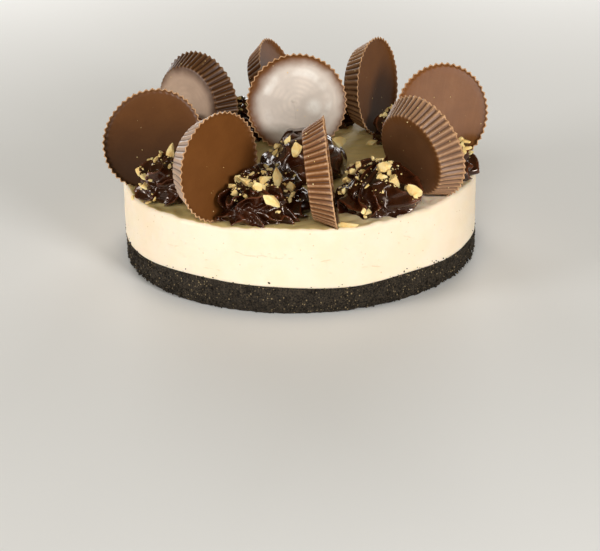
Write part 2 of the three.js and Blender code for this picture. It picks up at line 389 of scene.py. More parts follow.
def axis(tree, place, letter):
    """One coordinate of a place: X, Y or Z."""
    return node(tree, "SeparateXYZ", {"Vector": place}).outputs[letter]


def hairline(tree, start, end, width):
    """1 along a fine wavering line between two points of the object, 0 away from it."""
    place = own_place(tree)
    waver = node(tree, "TexNoise", {"Vector": place, "Scale": 1 / (3 * MM)}).outputs["Color"]
    waver = vector(tree, "SUBTRACT", vector(tree, "MULTIPLY", waver, (1.2 * MM,) * 3), (0.6 * MM,) * 3)
    place = vector(tree, "ADD", place, waver)
    run = Vector(end) - Vector(start)
    from_start = vector(tree, "SUBTRACT", place, start)
    dot = {0: from_start, 1: run / run.length_squared}
    along = node(tree, "VectorMath", dot, operation="DOT_PRODUCT").outputs["Value"]
    along = node(tree, "Clamp", {"Value": along}).outputs[0]
    nearest = node(tree, "VectorMath", {0: run, "Scale": along}, operation="SCALE").outputs[0]
    away = node(tree, "VectorMath", {0: from_start, 1: nearest}, operation="DISTANCE").outputs["Value"]
    return ramp(tree, away, width, 0.25 * width)


def patch(tree, at, size):
    """1 at a point of the object, falling softly to 0 at the given distance."""
    place = own_place(tree)
    away = node(tree, "VectorMath", {0: place, 1: at}, operation="DISTANCE").outputs["Value"]
    return ramp(tree, away, size, 0.2 * size)


print("patterns ready")

# %% [markdown]
# ## The cut lines of the cake
#
# A real cake is not a drawn cylinder: the line where crust meets mousse rises and falls, and
# so does the rim. A few waves of different lengths, added up, give such a line. They are the
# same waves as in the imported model, so the dressed cake fits it.

# %% Cut lines
CRUST_LINE = ((2, 0.8, 55), (5, 0.65, 26), (10, 0.33, -18), (9, 0.23, 17))
RIM_LINE = ((1, 0.6, -7), (6, 0.6, 18), (10, 0.5, 10), (8, 0.35, 8))


def cut_line(height, waves, angle):
    """Heights along a wavy line: each wave has its repeats, height in mm and crest angle."""
    rise = sum(size * np.cos(repeats * (angle - math.radians(crest))) for repeats, size, crest in waves)
    return height + rise * MM


def crust_top(angle):
    """Height of the line between crust and mousse."""
    return cut_line(CRUST_HEIGHT, CRUST_LINE, angle)


def rim_top(angle):
    """Height of the mousse's rim."""
    return cut_line(CAKE_HEIGHT, RIM_LINE, angle)


around = full_circle(720)
print("crust line, mm:", [round(edge(crust_top(around)) / MM, 1) for edge in (min, max)])

# %% [markdown]
# ## The crumb crust
#
# The crust is pressed cookie crumbs: almost black, with tan specks, and rough because single
# crumbs stick out. A bump map alone would leave the outline smooth, so the side is a fine
# sheet pushed in and out by lumps of several sizes, and loose grains are added in a later cell.
# Its foot is drawn in a little, as crumbs break away there.

# %% Crust finish
CRUMB_DARK, CRUMB_LIGHT, SPECK = (0.006, 0.0045, 0.003), (0.056, 0.041, 0.025), (0.34, 0.25, 0.13)
crust_finish, tree, shader = finish("cookie_crumb", Roughness=0.85, Specular_IOR_Level=0.25)
crumb_share = ramp(tree, object_noise(tree, 0.8 * MM, detail=5, roughness=0.65), 0.36, 0.66)
crumb_tone = mixed(tree, crumb_share, CRUMB_DARK, CRUMB_LIGHT)
specks = object_cells(tree, 0.95 * MM)
in_speck = ramp(tree, specks.outputs["Distance"], 0.45, 0.3)
speck_share = times(tree, picked(tree, specks, 0.86, 0.93), in_speck)
crumb_tone = mixed(tree, times(tree, speck_share, 0.8), crumb_tone, SPECK)
tree.links.new(crumb_tone, shader.inputs["Base Color"])
bumped(tree, shader, object_noise(tree, 0.7 * MM, detail=4, roughness=0.7), 0.5 * MM)
print("crust finish, nodes:", len(tree.nodes))

# %% [markdown]
# The crust's side is made of rings from the floor to the cut line, with one more ring inside
# that carries the top under the mousse. The lumps have four octaves, so the largest are whole
# crumbs and the smallest are grit.

# %% Crust shape
CRUST_COLUMNS, CRUST_ROWS = 1000, 24
CRUST_INSET, FOOT_DRAWN_IN = 0.7 * MM, 1.3 * MM
CRUMB_RELIEF, CRUMB_SIZE = 0.55 * MM, 2.6 * MM
angle = full_circle(CRUST_COLUMNS)
share = np.linspace(0, 1, CRUST_ROWS)[:, None]
radius = CAKE_RADIUS - CRUST_INSET - FOOT_DRAWN_IN * (1 - share) ** 4
height = share * crust_top(angle)
relief = CRUMB_RELIEF * lumps(ring(angle, radius, height), CRUMB_SIZE, seed=3, octaves=4)
crust_side = ring(angle, np.minimum(radius + relief, CAKE_RADIUS - 0.1 * MM), height)
under_mousse = ring(angle, 0.9 * CAKE_RADIUS, crust_top(angle))
crust_points = np.concatenate([crust_side, under_mousse[None]])
crust = make_mesh("crumb_crust", crust_points, skin_faces(CRUST_ROWS + 1, CRUST_COLUMNS), crust_finish)
stand_for(crust, "crust")
report(crust)

# %% [markdown]
# ## The cups: where they stand
#
# Each chocolate cup stands on its edge, pushed a few millimetres into the mousse. Before
# shaping the mousse we need to know where the cups are, so that it can give way to them. A
# cup is placed by the centre of its wide face and by where that face looks, exactly as in the
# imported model.

# %% Cup places
CUPS = {
    "cup_left": ((-72.3, -12.7, 62.7), -108.1, 34),
    "cup_front_left": ((-36.4, -67.6, 65.9), -41, 1.9),
    "cup_back_left": ((-50.2, 47.5, 63.9), 49.6, 0.6),
    "cup_back": ((-7.9, 76.7, 63), -15, 22.2),
    "cup_centre": ((-0.5, 27, 66.6), -84.1, 4.8),
    "cup_front": ((14.4, -76, 65.3), -0.3, 6.2),
    "cup_back_right": ((43.1, 58.8, 65.5), -26.9, 5.4),
    "cup_right": ((72.2, 15.4, 63.1), -122.5, 20.6),
    "cup_front_right": ((60.7, -44.2, 66.3), 38.2, 12.3),
}


def cup_place(name):
    """The matrix that stands a cup, made about its own axis, at its place."""
    at, turn, tip = CUPS[name]
    tipped = Matrix.Rotation(math.radians(turn), 4, "Z") @ Matrix.Rotation(math.radians(90 - tip), 4, "Y")
    return Matrix.Translation(Vector(at) * MM) @ tipped


def in_cup_frame(points, name):
    """Points as seen by a cup: its wide face lies at height 0 and looks along +Z."""
    back = np.array(cup_place(name).inverted())
    return points @ back[:3, :3].T + back[:3, 3]


for name in CUPS:
    middle = cup_place(name).translation / MM
    print(name, [round(v, 1) for v in middle])

# %% [markdown]
# ## The mousse
#
# The mousse is soft and pale, with a satin skin: light enters it and comes out again, which
# subsurface scattering imitates. Fine tan flecks of peanut butter, small pits and a few drag
# marks of the knife keep it from looking like plastic. The flecks are colour only. The pits
# are too small for the mesh, so they are bump. The flat top gets a painted shade: a darker
# tan is mixed in where the surface faces up, because the low light leaves the top dim. Only
# the front right rim, where the light catches the top, is left without the painted shade.

# %% Marks on the side
# Hairline creases that the picture shows on the side, each through a few of its pixels.
SIDE_CREASES = (
    ((168, 244), (175, 246), (182, 245)),
    ((233, 251), (247, 256), (262, 256), (279, 259), (293, 258)),
    ((404, 236), (415, 238)),
    ((318, 262), (330, 260)),
    ((205, 268), (219, 270)),
    ((360, 268), (371, 266), (380, 267)),
)


def side_point(across, down):
    """The point of the cake's side that shows at a pixel."""
    way = towards_pixel(across, down)
    a = way.x**2 + way.y**2
    b = CAMERA_AT.x * way.x + CAMERA_AT.y * way.y
    c = CAMERA_AT.x**2 + CAMERA_AT.y**2 - (CAKE_RADIUS - 0.25 * MM) ** 2
    return CAMERA_AT + way * ((-b - math.sqrt(b * b - a * c)) / a)


print("a crease starts at, mm:", [round(v / MM, 1) for v in side_point(*SIDE_CREASES[0][0])])

# %% [markdown]
# The distance from the middle of random cells gives round spots: tan flecks in some cells of
# one pattern, and a tiny pit in each cell of a wider one. The creases join in both the colour
# and the bump.

# %% Mousse finish
CREAM_DARK, CREAM_LIGHT, SHADED_TOP = (0.91, 0.75, 0.545), (0.925, 0.775, 0.59), (0.66, 0.5, 0.21)
FLECK, CREASE = (0.62, 0.42, 0.2), (0.62, 0.45, 0.22)
LIT_RIM, LIT_RIM_REACH = Vector((62, -56, 42)) * MM, 56 * MM
mousse_finish, tree, shader = finish(
    "peanut_mousse",
    Roughness=0.5,
    Specular_IOR_Level=0.3,
    Subsurface_Weight=0.25,
    Subsurface_Radius=(1.0, 0.6, 0.3),
    Subsurface_Scale=3 * MM,
)
cream_share = ramp(tree, object_noise(tree, 14 * MM), 0.35, 0.65)
cream = mixed(tree, cream_share, CREAM_DARK, CREAM_LIGHT)
# Painted shade: a darker tan where the surface faces up, left out near the front right rim, where the light
# catches the top.
facing_up = axis(tree, node(tree, "TexCoord").outputs["Normal"], "Z")
top_shade = maths(tree, "SUBTRACT", 1.0, patch(tree, LIT_RIM, LIT_RIM_REACH))
top_shade = times(tree, ramp(tree, facing_up, 0.8, 0.98), top_shade)
cream = mixed(tree, top_shade, cream, SHADED_TOP)
flecks = object_cells(tree, 2.6 * MM)
in_fleck = ramp(tree, flecks.outputs["Distance"], 0.17, 0.08)
fleck_share = times(tree, in_fleck, picked(tree, flecks, 0.6, 0.9, "Green"))
cream = mixed(tree, times(tree, fleck_share, 0.75), cream, FLECK)
crease = 0.0
for line in SIDE_CREASES:
    points = [side_point(across, down) for across, down in line]
    for start, end in zip(points, points[1:]):
        crease = maths(tree, "MAXIMUM", hairline(tree, start, end, 0.26 * MM), crease)
cream = mixed(tree, times(tree, crease, 0.28), cream, CREASE)
tree.links.new(cream, shader.inputs["Base Color"])
pits = ramp(tree, object_cells(tree, 4.2 * MM).outputs["Distance"], 0.06, 0.13)
skin = times(tree, object_noise(tree, 5 * MM, detail=5), 0.6)
skin = maths(tree, "MULTIPLY_ADD", crease, -0.35, skin)
bumped(tree, shader, maths(tree, "MULTIPLY_ADD", pits, 0.35, skin), 0.45 * MM)
print("mousse finish, nodes:", len(tree.nodes))

# %% [markdown]
# The mousse's shape is one sheet that runs up the side, over a softly rounded rim and across
# the top to the centre. We lay out its rings first, and then press shallow dents into the
# side.

# %% Mousse sheet
MOUSSE_COLUMNS, SIDE_ROWS, RIM_ROWS, TOP_ROWS = 720, 36, 6, 58
RIM_ROUND = 2.0 * MM
WIDEST = CAKE_RADIUS - 0.2 * MM
angle = full_circle(MOUSSE_COLUMNS)


def mousse_rows():
    """(radius, height) of each ring of the sheet, from the crust up and in to the centre."""
    bottom, rim = crust_top(angle) - 0.05 * MM, rim_top(angle)
    for up in np.linspace(0, 1, SIDE_ROWS):
        yield WIDEST, bottom + (rim - RIM_ROUND - bottom) * up
    for turn in np.linspace(0, np.pi / 2, RIM_ROWS + 1)[1:]:
        yield WIDEST - RIM_ROUND * (1 - np.cos(turn)), rim - RIM_ROUND * (1 - np.sin(turn))
    for inward in np.linspace(0, 1, TOP_ROWS + 1)[1:]:
        level = 1 - smooth_step(inward, 0.0, 0.13)
        yield (WIDEST - RIM_ROUND) * (1 - 0.985 * inward), CAKE_HEIGHT + (rim - CAKE_HEIGHT) * level


mousse_points = np.array([ring(angle, radius, height) for radius, height in mousse_rows()])
on_side = (np.arange(len(mousse_points)) < SIDE_ROWS + RIM_ROWS)[:, None] * 1.0
outward = ring(angle, 1.0, 0.0)
side_relief = 0.2 * MM * lumps(mousse_points * (1, 1, 2.2), 13 * MM, seed=5, octaves=3) - 0.12 * MM
mousse_points += outward * (side_relief * on_side)[..., None]
print("mousse points:", mousse_points[..., 0].size)

# %% [markdown]
# The top is spread with a knife, so it has shallow swirls and long strokes. At the front right
# it rises a little and then slopes down to the rim, which is why the light catches it there.
# The rim itself is lumpy, as soft mousse tears when the ring comes off.

# %% Knife marks on the top
RISE_WAY, RISE_HEIGHT = math.radians(-38), 1.7 * MM
KNIFE_WAY = np.array(((0.9, -0.45, 0), (0.45, 0.9, 0), (0, 0, 1)))
swirls = 0.4 * MM * lumps(mousse_points * (1, 2.2, 1), 13 * MM, seed=9, octaves=3)
reach = np.hypot(mousse_points[..., 0], mousse_points[..., 1])
rise = smooth_step(CAKE_RADIUS - reach, 0, 15 * MM) * smooth_step(reach, 45 * MM, 65 * MM)
rise = rise * smooth_step(np.cos(angle - RISE_WAY), 0.78, 0.98)
mousse_points[..., 2] += RISE_HEIGHT * rise * (1 - on_side)
strokes = mousse_points @ KNIFE_WAY * (0.35, 1.9, 1)
swirls += 0.22 * MM * lumps(strokes, 6 * MM, seed=15, octaves=3)
mousse_points[..., 2] += swirls * (1 - on_side)
near_rim = smooth_step(mousse_points[..., 2], CAKE_HEIGHT - 3 * MM, CAKE_HEIGHT)
rim_lumps = 0.45 * MM * lumps(mousse_points, 5 * MM, seed=31) * near_rim
reach = np.hypot(mousse_points[..., 0], mousse_points[..., 1])
mousse_points[..., 2] += rim_lumps * (reach > CAKE_RADIUS - 8 * MM)
print("mousse top, mm:", round(float(mousse_points[..., 2].max()) / MM, 1))

# %% [markdown]
# Where a cup stands, the mousse gives way. `beyond_cup` measures how far a point is outside a
# cup, from the slope of its side and its two faces. The loop lowers the points that are inside
# one by small steps until they are out, and the mousse pushed aside swells up in a low lip.

# %% Mousse gives way to the cups
DIP_STEP, DIP_STEPS, DIP_CLEAR = 0.25 * MM, 30, 0.15 * MM
LIP_HEIGHT, LIP_REACH = 0.5 * MM, 1.2 * MM


def beyond_cup(points, name):
    """How far points are outside a cup, in metres; negative inside."""
    local = in_cup_frame(points, name)
    slope = (CUP_RIM_RADIUS - CUP_FOOT_RADIUS) / CUP_HEIGHT
    wall = np.linalg.norm(local[..., :2], axis=-1) - (CUP_RIM_RADIUS + slope * np.minimum(local[..., 2], 0))
    return np.maximum.reduce([wall, local[..., 2], -CUP_HEIGHT - local[..., 2]])


on_top = mousse_points[SIDE_ROWS:]
for name in CUPS:
    clear = beyond_cup(on_top, name)
    on_top[..., 2] += LIP_HEIGHT * np.exp(-np.maximum(clear, 0) / LIP_REACH) * (clear < 5 * LIP_REACH)
    for _ in range(DIP_STEPS):
        on_top[..., 2] -= DIP_STEP * (beyond_cup(on_top, name) < DIP_CLEAR)
mousse = make_mesh(
    "mousse_body", mousse_points, skin_faces(len(mousse_points), MOUSSE_COLUMNS), mousse_finish
)
stand_for(mousse, "mousse")
report(mousse)

# %% [markdown]
# ## The chocolate cups: finish
#
# Milk chocolate is satin, not glossy, and its tone wanders a little. The fluted edge is
# lighter: thin chocolate and fine scratches make it paler, and a painted highlight on the lip
# and the crests stands for the light that they catch, while a painted shade darkens the
# valleys between the flutes. One cup in the middle has a pale bloom over its face, which is
# partly bloom and partly a painted sheen where the face reflects a lamp, and others a trace of
# it. One shared material would make the nine cups alike, so a function builds one for each
# cup. Its first helpers say how much bloom lies where: most in the middle of a face, in
# strokes, and in faint rings about the axis.

# %% Bloom on a cup
# The bloom lies a little off the cup's axis, so that the brown ring round it is uneven.
BLOOM_CENTRE = (1.2 * MM, 1.2 * MM, 0)
# The heights, from none to all, where a point belongs to the wide face or the narrow one.
WIDE_FACE, NARROW_FACE = (-2.6 * MM, -2.1 * MM), (-10.6 * MM, -10.9 * MM)


def from_axis(tree, place, centre=(0, 0, 0)):
    """How far a place is from a line along the cup's axis through the centre."""
    flat = vector(tree, "SUBTRACT", vector(tree, "MULTIPLY", place, (1, 1, 0)), centre)
    return node(tree, "VectorMath", {0: flat}, operation="LENGTH").outputs["Value"]


def knife_strokes(tree, place, across, length):
    """Noise from 0 to 1 drawn out along X, like the strokes of a palette knife."""
    scaled = vector(tree, "MULTIPLY", place, (1 / length, 1 / across, 1 / across))
    noise = node(tree, "TexNoise", {"Vector": scaled, "Scale": 1.0, "Detail": 4.0}).outputs["Fac"]
    return ramp(tree, noise, 0.42, 0.68)


def rings_round_axis(tree, place):
    """Faint rings about the cup's axis that come and go, as chocolate that cools slowly has them."""
    inputs = {"Vector": place, "Scale": 120.0, "Distortion": 3.0, "Detail": 3.0}
    rings = node(tree, "TexWave", inputs, wave_type="RINGS", rings_direction="Z").outputs["Fac"]
    return times(tree, rings, ramp(tree, object_noise(tree, 11 * MM), 0.4, 0.7))


def bloom_and_sheen_share(tree, place, bloom_and_sheen, foot_bloom, streaks):
    """How much pale cover lies on each point of the two faces: real on the narrow face, partly real and
    partly painted sheen on the wide face.
    """
    reach = from_axis(tree, place, BLOOM_CENTRE)
    wander = maths(tree, "MULTIPLY_ADD", object_noise(tree, 8 * MM, detail=4), 5 * MM, -2.5 * MM)
    reach = maths(tree, "ADD", reach, wander)
    height = axis(tree, place, "Z")
    on_face = times(tree, ramp(tree, height, *WIDE_FACE), bloom_and_sheen)
    on_foot = times(tree, ramp(tree, height, *NARROW_FACE), foot_bloom)
    face_share = times(tree, ramp(tree, reach, 25.5 * MM, 18.5 * MM), on_face)
    foot_share = times(tree, ramp(tree, reach, 22 * MM, 15 * MM), on_foot)
    share = maths(tree, "MAXIMUM", face_share, foot_share)
    strokes = times(tree, knife_strokes(tree, place, 1.3 * MM, 14 * MM), streaks)
    return maths(tree, "MULTIPLY_ADD", strokes, on_face, share)


print("bloom tools ready")

# %% [markdown]
# The finish itself goes from the ground up, as a painter would: mottled brown, a painted
# shade that darkens the lower end, the bloom with its painted sheen on the middle cup, a
# painted shade in the valleys of the flutes, and last the crests, worn pale and given a
# painted highlight. The mesh stores which points are crest, valley and side. An Attribute
# node reads that back.

# %% Cup finish
MILK_DARK, MILK_LIGHT = np.array((0.15, 0.05, 0.0095)), np.array((0.2, 0.071, 0.0155))
PALE_BLOOM_AND_SHEEN, WORN_AND_LIT_CREST = (0.88, 0.76, 0.65), (0.66, 0.38, 0.19)


def stored(tree, name):
    """The number that the mesh stores for each point under a name."""
    return node(tree, "Attribute", attribute_name=name).outputs["Fac"]


def chocolate(
    cup, bloom_and_sheen=0.0, foot_bloom=0.0, side_bloom=0.0, streaks=0.0, pale=PALE_BLOOM_AND_SHEEN,
    tone=1.0, lower_end_shade=1.0, gloss=0.3, crest_wear_and_light=1.0,
):
    """Milk chocolate for one cup. Towards its lower end a painted shade darkens it, down to a given share of
    its tone.
    """
    material, tree, shader = finish("chocolate_of_" + cup, Roughness=0.42, Specular_IOR_Level=gloss)
    back = cup_place(cup).inverted()
    turned = {"Location": back.translation, "Rotation": back.to_euler()}
    node(tree, "Mapping", {"Vector": own_place(tree), **turned})
    place = own_place(tree)

    # Mottled brown, with a painted shade that darkens it towards the lower end.
    mottle = object_noise(tree, 1.6 * MM, detail=5, roughness=0.7)
    mottle = maths(tree, "MULTIPLY_ADD", mottle, 0.7, -0.35)
    mottle = maths(tree, "ADD", mottle, ramp(tree, object_noise(tree, 9 * MM), 0.3, 0.7, 0.3, 0.75))
    brown = mixed(tree, mottle, MILK_DARK * tone, MILK_LIGHT * tone)
    brown = mixed(tree, ramp(tree, axis(tree, place, "X"), -14 * MM, 20 * MM, 0, 1 - lower_end_shade), brown, (0, 0, 0))

    # Cloudy bloom on the faces, and a thin one on the side.
    rings = rings_round_axis(tree, place)
    cloud = ramp(tree, object_noise(tree, 8 * MM, detail=3), 0.3, 0.7)
    cloud = times(tree, maths(tree, "MULTIPLY_ADD", rings, 0.9, cloud), 0.6)
    haze = mixed(tree, cloud, np.array(pale) * 0.82, pale)
    share = bloom_and_sheen_share(tree, place, bloom_and_sheen, foot_bloom, streaks)
    share = maths(tree, "MAXIMUM", share, times(tree, stored(tree, "side"), side_bloom))
    brown = mixed(tree, share, brown, haze)

    # Painted shade in the valleys, and crests worn pale in places and given a painted highlight.
    brown = mixed(tree, times(tree, stored(tree, "valley_shade"), 0.72), brown, MILK_DARK * tone * 0.25)
    wear = ramp(tree, object_noise(tree, 1.1 * MM, detail=4), 0.3, 0.6, 0.45 * crest_wear_and_light, crest_wear_and_light)
    brown = mixed(tree, times(tree, stored(tree, "edge"), wear), brown, WORN_AND_LIT_CREST)
    tree.links.new(brown, shader.inputs["Base Color"])
    scuffs = times(tree, object_noise(tree, 1.2 * MM, detail=4), 0.35)
    bumped(tree, shader, maths(tree, "MULTIPLY_ADD", rings, 0.5 * bloom_and_sheen, scuffs), 0.1 * MM)
    return material


print("a cup's brown, dark and light:", MILK_DARK, MILK_LIGHT)

# %% [markdown]
# The nine cups differ in a few numbers. `tone` is how light the brown is, `lower_end_shade` how
# much of it a painted shade leaves at the lower end, `crest_wear_and_light` how pale the crests
# are from wear and a painted highlight, and `pale` the colour of the bloom. `streaks` are
# strokes of bloom on the wide face. On cup_centre the bloom is partly a painted sheen. The dark
# tones of cup_back_left and cup_back_right, with the faint crests of cup_back_left, are
# painted shade for the shadows of the cups beside them, and the side bloom of cup_back_right
# paints light onto its side.

# %% Nine finishes
CUP_WAYS = {
    "cup_left": dict(lower_end_shade=0.4, tone=0.7),
    "cup_front": dict(lower_end_shade=0.72, tone=0.98),
    "cup_front_left": dict(side_bloom=0.42, tone=0.9, lower_end_shade=0.94, pale=(0.86, 0.7, 0.58)),
    # Partly bloom and partly a painted sheen, the reflection of a lamp on the face.
    "cup_centre": dict(bloom_and_sheen=0.96),
    "cup_right": dict(bloom_and_sheen=0.08, streaks=0.5, tone=1.14, pale=(0.54, 0.31, 0.16)),
    # Dark tone, faint crests and a strong lower end shade: painted shade for the shadow of cup_centre.
    "cup_back_left": dict(foot_bloom=0.48, tone=0.42, lower_end_shade=0.3, crest_wear_and_light=0.3, pale=(0.82, 0.58, 0.41)),
    "cup_back": dict(foot_bloom=0.2, pale=(0.75, 0.48, 0.24)),
    # Dark tone: painted shade for the shadow of cup_right; the side bloom paints light onto the side.
    "cup_back_right": dict(tone=0.82, lower_end_shade=0.55, side_bloom=0.3, gloss=0.12, pale=(0.68, 0.42, 0.23)),
    "cup_front_right": dict(foot_bloom=0.07, side_bloom=0.16, tone=0.88, pale=(0.7, 0.52, 0.38)),
}
cup_finishes = {name: chocolate(name, **ways) for name, ways in CUP_WAYS.items()}
print("cup finishes:", len(cup_finishes))

# %% [markdown]
# The bloomed cup faces the camera, so its marks are worth a cell: a brighter ring of bloom and
# painted sheen, a bright patch that is a painted glint where the face reflects a lamp, a small
# dent near the middle and a hair crack below it.
# We find each place by its pixel and change the tone and the bump there.

# %% Marks on the bloomed face
GLINT_PIXEL, DENT_PIXEL, CRACK_END_PIXEL = (314, 107), (293.5, 101), (296, 122)
PALE_SHEEN_AND_GLINT, CRACK_TONE = (0.97, 0.9, 0.81), (0.2, 0.12, 0.08)
FACE_DEPTH = 1.8 * MM


def on_wide_face(name, pixel):
    """Where a pixel's ray meets the wide face of a cup, about the cup's own axis."""
    back = cup_place(name).inverted()
    at, way = back @ CAMERA_AT, back.to_3x3() @ towards_pixel(*pixel)
    return at + way * (-FACE_DEPTH - at.z) / way.z


tree = cup_finishes["cup_centre"].node_tree
shader = tree.nodes["Principled BSDF"]
colour = shader.inputs["Base Color"].links[0].from_socket
bump = shader.inputs["Normal"].links[0].from_node
height = bump.inputs["Height"].links[0].from_socket
dent, crack_end = (on_wide_face("cup_centre", pixel) for pixel in (DENT_PIXEL, CRACK_END_PIXEL))
place = own_place(tree)
reach = from_axis(tree, place)
halo = times(tree, ramp(tree, reach, 13 * MM, 16 * MM), ramp(tree, reach, 19.5 * MM, 17 * MM))
halo = times(tree, halo, ramp(tree, object_noise(tree, 12 * MM), 0.4, 0.65))
# Painted glint: a bright patch where the face reflects a lamp, added to the painted sheen of the ring.
sheen_and_glint = patch(tree, on_wide_face("cup_centre", GLINT_PIXEL), 6 * MM)
sheen_and_glint = times(tree, sheen_and_glint, ramp(tree, object_noise(tree, 5 * MM, detail=3), 0.1, 0.6))
sheen_and_glint = maths(tree, "MAXIMUM", times(tree, halo, 0.85), sheen_and_glint)
sheen_and_glint = times(tree, sheen_and_glint, ramp(tree, axis(tree, place, "Z"), *WIDE_FACE))
colour = mixed(tree, sheen_and_glint, colour, PALE_SHEEN_AND_GLINT)
crack = hairline(tree, dent, crack_end, 0.2 * MM)
rim_of_dent = maths(tree, "SUBTRACT", patch(tree, dent, 1.5 * MM), patch(tree, dent, 1.0 * MM))
dark = maths(tree, "MAXIMUM", times(tree, crack, 0.09), times(tree, rim_of_dent, 0.16))
tree.links.new(mixed(tree, dark, colour, CRACK_TONE), shader.inputs["Base Color"])
height = maths(tree, "MULTIPLY_ADD", crack, -0.4, height)
height = maths(tree, "MULTIPLY_ADD", patch(tree, dent, 1.3 * MM), 3.0, height)
tree.links.new(height, bump.inputs["Height"])
print("dent, mm from the axis:", round(math.hypot(dent.x, dent.y) / MM, 1))

# %% [markdown]
# ## The chocolate cups: shape
#
# A cup is moulded in pleated paper, which leaves forty-eight flutes round its side. The paper
# stands a little above the filling, so the wide face lies sunk inside a thin wavy lip. The
# shape is one closed skin: from the centre of the narrow face, round its soft edge, up the
# fluted side, over the lip and down onto the wide face. Two waves make the pleats: a tooth
# with straight flanks and a rib with a round crest and a sharp valley. The lip has only the
# tooth, as the paper's zigzag shows there.

# %% Cup shape
STEPS_PER_FLUTE = 12
CUP_COLUMNS = CUP_FLUTES * STEPS_PER_FLUTE
# Each row: distance from the axis, height, how deep the flutes are there, and how pale the
# edge is, which is wear and a painted highlight. Sizes in mm.
CUP_PROFILE = (
    (0.4, -11.1, 0, 0),
    (6, -11.1, 0, 0),
    (12, -11.08, 0, 0),
    (17, -11.06, 0, 0),
    (19.2, -11.02, 0, 0.05),
    (20, -10.85, 0.12, 0.45),
    (20.55, -10.5, 0.3, 0.6),
    (20.9, -10, 0.6, 0.34),
    (21.8, -8.1, 0.9, 0.26),
    (22.9, -6, 1.0, 0.22),
    (24, -3.8, 1.05, 0.26),
    (25, -1.9, 1.05, 0.34),
    (25.7, -0.8, 1.05, 0.52),
    (26.1, -0.3, 1.05, 0.85),
    (26.25, -0.08, 1.05, 1.0),
    (26.0, 0, 1.05, 1.0),
    (25.7, -0.12, 1.0, 0.7),
    (25.45, -0.5, 0.85, 0.2),
    (25.15, -1.0, 0.55, 0.05),
    (24.6, -1.35, 0.25, 0),
    (23.4, -1.5, 0.08, 0),
    (20, -1.6, 0, 0),
    (14, -1.7, 0, 0),
    (7, -1.8, 0, 0),
    (0.4, -1.85, 0, 0),
)
LIP_ROW = 13
LIP_SHARE = (0.5, 1, 1, 0.8, 0.3)
print("cup rings:", len(CUP_PROFILE), "of", CUP_COLUMNS, "points")

# %% [markdown]
# Each row of the table becomes a ring, and the two waves pull it in between the flutes. The same
# loop notes how pale the crests are, from wear and a painted highlight, where the valleys lie,
# which get a painted shade, and which rings are side. Last, the lip loses small chips.

# %% Cup skin
def cup_skin(seed):
    """Points of one cup about its own axis, and marks of its pale edge (wear and a painted highlight), its
    painted shade between the flutes, and its side.
    """
    angle = full_circle(CUP_COLUMNS)
    drift = 0.25 * np.sin(3 * angle + seed) + 0.2 * np.sin(7 * angle + 2 * seed)
    phase = CUP_FLUTES * angle + drift
    tooth = np.arcsin(0.97 * np.sin(phase)) / np.arcsin(0.97)
    rib = 2 * np.abs(np.cos(phase / 2 - np.pi / 4)) - 1
    points, worn_and_lit_edges, valley_shades, sides = [], [], [], []
    for number, (reach, height, depth, pale) in enumerate(CUP_PROFILE):
        on_side = number < LIP_ROW
        pleat = 0.3 * tooth + 0.7 * rib if on_side else tooth
        points.append(ring(angle, (reach - depth * (0.5 - 0.5 * pleat)) * MM, height * MM))
        worn_and_lit_edges.append(pale * (1.5 * smooth_step(rib, 0.45, 1.0) if on_side else np.ones_like(angle)))
        valley_shades.append(smooth_step(-rib, 0.1, 0.9) * (on_side and depth > 0.2))
        sides.append(np.full_like(angle, on_side and depth > 0.2))
    points = np.array(points)
    chipped = 0.28 * MM * lumps(points, 4 * MM, seed=40 + seed, octaves=3) - 0.3 * MM
    lip = np.zeros(len(CUP_PROFILE))
    lip[LIP_ROW - 1 : LIP_ROW + 4] = LIP_SHARE
    points[..., 2] += np.minimum(chipped, 0) * lip[:, None]
    return points, {"edge": np.array(worn_and_lit_edges), "valley_shade": np.array(valley_shades), "side": np.array(sides)}


print("one cup across, mm:", round(float(np.ptp(cup_skin(0)[0][..., 0])) / MM, 1))

# %% [markdown]
# Each cup is made about its own axis and then moved by its place. We move the mesh and not the
# object, so that the object's box stays a close fit.

# %% Make the cups
cups = {}
for number, name in enumerate(CUPS):
    points, marks = cup_skin(number)
    faces = skin_faces(len(CUP_PROFILE), CUP_COLUMNS)
    cup = make_mesh("chocolate_" + name, points, faces, cup_finishes[name])
    for kind, values in marks.items():
        mark(cup, kind, values)
    cup.data.transform(cup_place(name))
    stand_for(cup, name)
    cups[name] = cup
report(cup)

# %% [markdown]
# ## Ganache rosettes: finish
#
# Ganache is dark chocolate and cream: nearly black-brown, wet looking, with small sharp
# highlights. A low roughness and a thin clear coat give those. Both a shallow bump and a
# roughness that varies keep the highlights from being perfectly clean, as the surface dries
# unevenly. The thin crests are a lighter red-brown, a painted highlight where their edges
# catch the light.

# %% Ganache finish
GANACHE_DARK, GANACHE_LIGHT = (0.018, 0.004, 0.001), (0.038, 0.0088, 0.0024)
LIT_RIDGE, WARM_GLOSS = (0.12, 0.032, 0.011), (1, 0.8, 0.66, 1)
ganache, tree, shader = finish("ganache", Specular_IOR_Level=0.5, Coat_Weight=0.22, Coat_Roughness=0.04)
shader.inputs["Specular Tint"].default_value = WARM_GLOSS
tone = mixed(tree, ramp(tree, object_noise(tree, 7 * MM), 0.3, 0.7), GANACHE_DARK, GANACHE_LIGHT)
# Painted highlight: the thin crests are a lighter red-brown, as their edges catch the light.
tone = mixed(tree, stored(tree, "lit_ridge"), tone, LIT_RIDGE)
tree.links.new(tone, shader.inputs["Base Color"])
tree.links.new(ramp(tree, object_noise(tree, 4 * MM), 0.35, 0.7, 0.12, 0.3), shader.inputs["Roughness"])
bumped(tree, shader, object_noise(tree, 6 * MM, detail=2), 0.1 * MM)
print("ganache finish, nodes:", len(tree.nodes))

